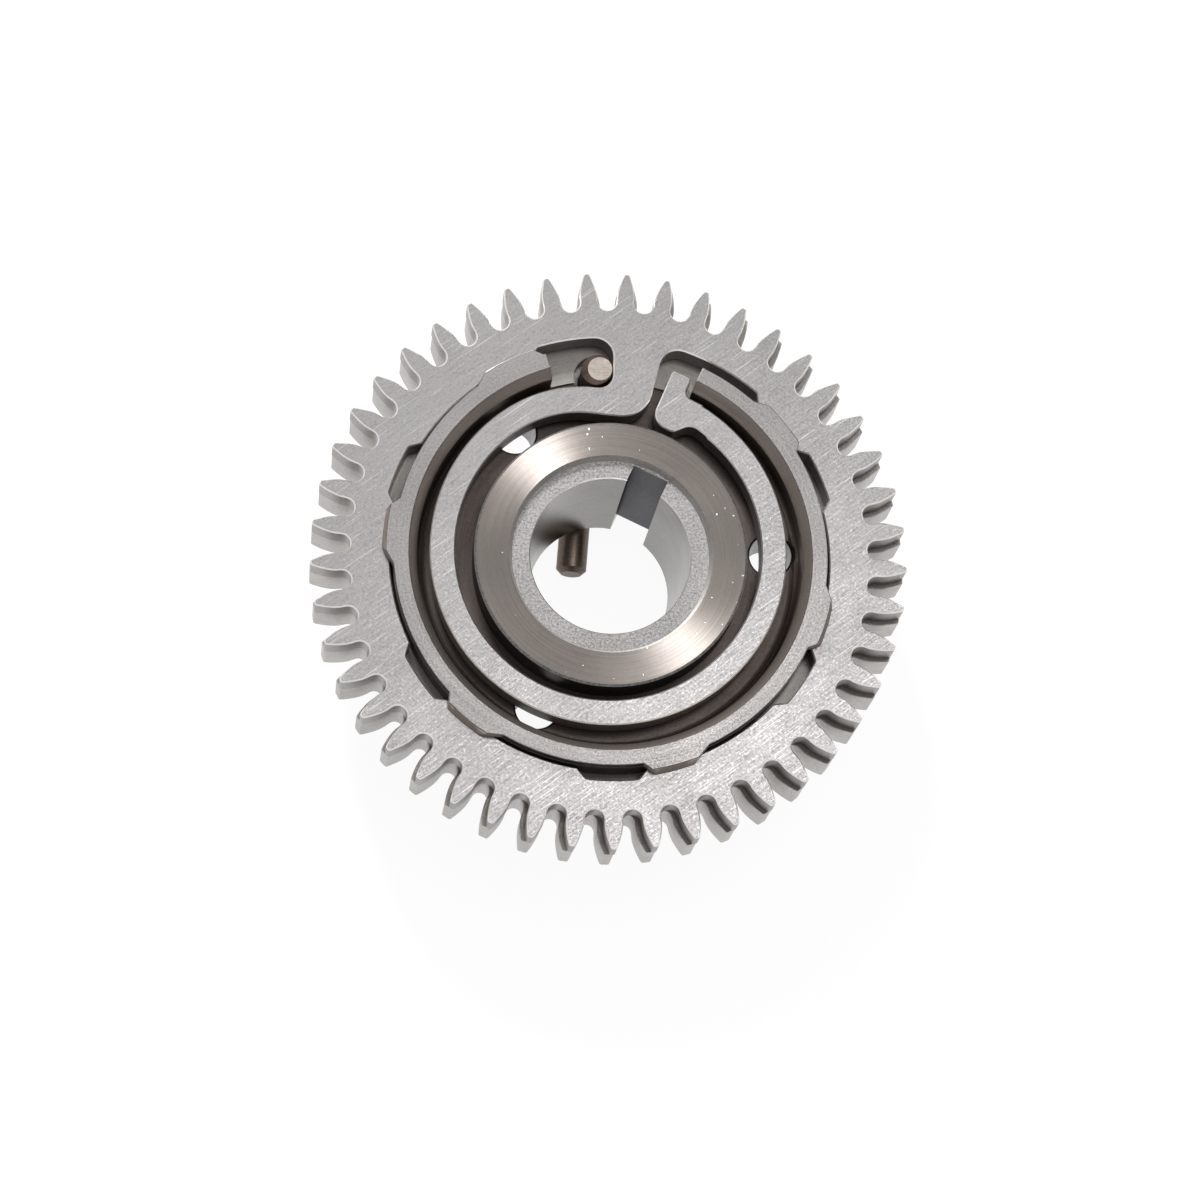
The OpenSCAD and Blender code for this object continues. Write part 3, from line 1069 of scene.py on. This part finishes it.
        # The step's wall gets the pale colour of a painted highlight
        if radius < self.step_r and not level:
            return STEP_PAINTED_HIGHLIGHT
        if radius < self.hub_r and normal.z > self.wall_under:
            on_edge = radius > self.hub_edge_r and not level
            return PRESSED_LAND if on_edge or middle.z < self.land_z else TURNED_STEEL
        if radius < self.bevel_out_r and middle.z < self.below_top_z:
            if middle.z > self.bevel_z and radius > self.bevel_in_r:
                return BROWNED_BEVEL
            # Next to the hub the groove gets painted shade
            return GROOVE_PAINTED_SHADE if radius < self.shaded_groove_r else BROWNED_GROOVE
        if middle.z < self.plate_z:
            return TURNED_SEAT if level else BROWNED_GROOVE
        # Outer walls and chamfers of the lugs get painted light against their shade
        on_rim = radius > self.lug_rim_r and normal.z < self.rim_under
        return LUG_RIM_PAINTED_LIGHT if on_rim else SINTERED_STEEL

    def bore_finish_at(self, middle: Vector) -> Finish:
        """Finds the finish of a wall in the bore, which is broached where the keyway is.

        Args:
            middle: The middle of the wall's face, in millimetres.

        Returns:
            The finish of the keyway or of the bore.
        """
        turn = math.radians(self.key_angle)
        key = Vector((math.cos(turn), math.sin(turn)))
        along = middle.xy.dot(key)
        across = abs(middle.x * key.y - middle.y * key.x)
        in_keyway = middle.xy.length > self.keyway_r and along > 0 and across < self.key_half
        return BROACHED_KEYWAY if in_keyway else REAMED_BORE


@dataclass
class ScissorPlate(Piece):
    """The sprung plate with its own teeth, notches, spring arm and T-head."""

    node: str = "scissor_plate"
    body: str = "scissor_plate"
    slot: str = "ground_steel"
    levels: tuple[Level, ...] = (Level(0.0), Level(-4.5, side=-1))
    edge_break: float = 0.2
    level_over: float = 0.85
    wall_under: float = 0.3

    def finish_at(self, middle: Vector, normal: Vector) -> Finish:
        """Finds the finish of a face of the plate, from how upright its normal is.

        Args:
            middle: The middle of the face, in millimetres.
            normal: The direction that the face looks in.

        Returns:
            The finish of the ground faces, the cut walls or the edges between them.
        """
        if abs(normal.z) > self.level_over:
            return GROUND_STEEL
        # The chamfers between faces and walls carry a painted highlight
        return BLANKED_STEEL if abs(normal.z) < self.wall_under else DEBURRED_EDGE_AND_HIGHLIGHT


@dataclass
class LockPin(Piece):
    """The L-shaped wire that holds the plate's spring loaded."""

    node: str = "lock_pin"
    body: str = "main_gear"
    slot: str = "dark_wire"
    front_z: float = -1.2
    level_over: float = 0.9

    def finish_at(self, middle: Vector, normal: Vector) -> Finish:
        """Finds the finish of a face of the pin, drawn or sheared."""
        sheared = middle.z > self.front_z and normal.z > self.level_over
        return SHEARED_END if sheared else DARK_WIRE


@dataclass(frozen=True)
class Softbox:
    """A square softbox that looks at the gear.

    Its direction is in degrees round the gear's axis and above the gear's plane, its distance
    from the gear and its side are in millimetres, and its power is in watts.
    """

    name: str
    azimuth: float
    elevation: float
    distance: float
    size: float
    watts: float

    def hang(self) -> None:
        """Makes the lamp and points it at the gear's middle."""
        azimuth, elevation = math.radians(self.azimuth), math.radians(self.elevation)
        way = Vector(
            (
                math.cos(elevation) * math.cos(azimuth),
                math.cos(elevation) * math.sin(azimuth),
                math.sin(elevation),
            )
        )
        light = bpy.data.lights.new(self.name, "AREA")
        light.shape = "SQUARE"
        light.size = self.size * MM
        light.energy = self.watts
        box = bpy.data.objects.new(self.name, light)
        box.location = way * self.distance * MM
        box.rotation_euler = (-way).to_track_quat("-Z", "Y").to_euler()
        bpy.context.scene.collection.objects.link(box)


@dataclass
class Studio:
    """Floor, soft lights and camera.

    The floor and the world show white to the eye and in reflections, at a strength of 1.
    """

    floor_z: float = -30.2
    floor_size: float = 6000.0
    camera_at: tuple[float, float, float] = (-50.127, -176.783, 607.706)
    camera_turn: tuple[float, float, float] = (15.4186, -4.9385, 1.3192)
    lens: float = 120.127
    sensor: float = 36.0
    clip_near: float = 10.0
    clip_far: float = 20000.0
    # Strength of the world as a light, and how much of the floor is white without shadow
    fill: float = 0.75
    glow_share: float = 0.93
    paper: str = "#f4f4f4"
    softboxes: tuple[Softbox, ...] = (
        Softbox("back_left_softbox", 110.0, 40.0, 700.0, 160.0, 11.2),
        Softbox("back_right_softbox", 48.0, 40.0, 800.0, 200.0, 0.6),
        Softbox("overhead_softbox", 50.6, 77.8, 921.0, 200.0, 1.45),
    )

    def build(self) -> None:
        """Sets the world, the floor, the lamps and the camera."""
        self.world()
        self.floor()
        for softbox in self.softboxes:
            softbox.hang()
        self.camera()

    def _seen(self, tree: bpy.types.NodeTree) -> bpy.types.NodeSocket:
        """Tells rays that show the background, straight or mirrored, from rays that light.

        Args:
            tree: The node tree that asks.

        Returns:
            A socket that is 1 for a camera, glossy or transmission ray, and else 0.
        """
        path = add_node(tree, "ShaderNodeLightPath")
        shown = path.outputs["Is Camera Ray"]
        for kind in ("Is Glossy Ray", "Is Transmission Ray"):
            shown = add_node(
                tree, "ShaderNodeMath", {0: shown, 1: path.outputs[kind]}, operation="MAXIMUM"
            ).outputs[0]
        return shown

    def world(self) -> None:
        """Makes the world white to the eye and a plain fill light for the rest."""
        world = bpy.data.worlds.new("white_studio")
        world.use_nodes = True
        tree = world.node_tree
        ground = tree.nodes["Background"]
        strength = add_node(
            tree,
            "ShaderNodeMapRange",
            {"Value": self._seen(tree), "To Min": self.fill, "To Max": 1.0},
        )
        ground.inputs["Color"].default_value = WHITE
        tree.links.new(strength.outputs[0], ground.inputs["Strength"])
        bpy.context.scene.world = world

    def floor(self) -> None:
        """Lays a pale floor below the pin's tail that keeps a faint shadow."""
        bpy.ops.object.select_all(action="DESELECT")
        bpy.ops.mesh.primitive_plane_add(size=self.floor_size * MM, location=(0, 0, 0))
        floor = bpy.context.view_layer.objects.active
        floor.name = "floor"
        for corner in floor.data.vertices:
            corner.co.z = self.floor_z * MM
        paper = bpy.data.materials.new("white_paper_floor")
        paper.use_nodes = True
        tree = paper.node_tree
        tree.nodes.remove(tree.nodes["Principled BSDF"])
        matte = add_node(tree, "ShaderNodeBsdfDiffuse", {"Color": linear(self.paper)})
        glow = add_node(tree, "ShaderNodeEmission", {"Color": WHITE, "Strength": 1.0})
        share = add_node(
            tree,
            "ShaderNodeMath",
            {0: self._seen(tree), 1: self.glow_share},
            operation="MULTIPLY",
        )
        mixed = add_node(
            tree,
            "ShaderNodeMixShader",
            {0: share.outputs[0], 1: matte.outputs[0], 2: glow.outputs[0]},
        )
        tree.links.new(mixed.outputs[0], tree.nodes["Material Output"].inputs["Surface"])
        floor.data.materials.append(paper)

    def camera(self) -> None:
        """Sets the camera where the photograph was taken from."""
        eye = bpy.data.cameras.new("camera")
        eye.lens = self.lens
        eye.sensor_width = self.sensor
        eye.sensor_fit = "HORIZONTAL"
        eye.clip_start = self.clip_near * MM
        eye.clip_end = self.clip_far * MM
        stand = bpy.data.objects.new("camera", eye)
        stand.location = Vector(self.camera_at) * MM
        stand.rotation_euler = Euler([math.radians(a) for a in self.camera_turn])
        bpy.context.scene.collection.objects.link(stand)
        bpy.context.scene.camera = stand


def main() -> None:
    """Builds the pieces and the studio in order, and reports each piece."""
    logging.basicConfig(level=logging.INFO, format="%(message)s")
    bpy.context.scene.view_settings.view_transform = "Standard"
    for piece in (MainGear(), ScissorPlate(), LockPin()):
        piece.build()
    Studio().build()


if __name__ == "__main__":
    main()
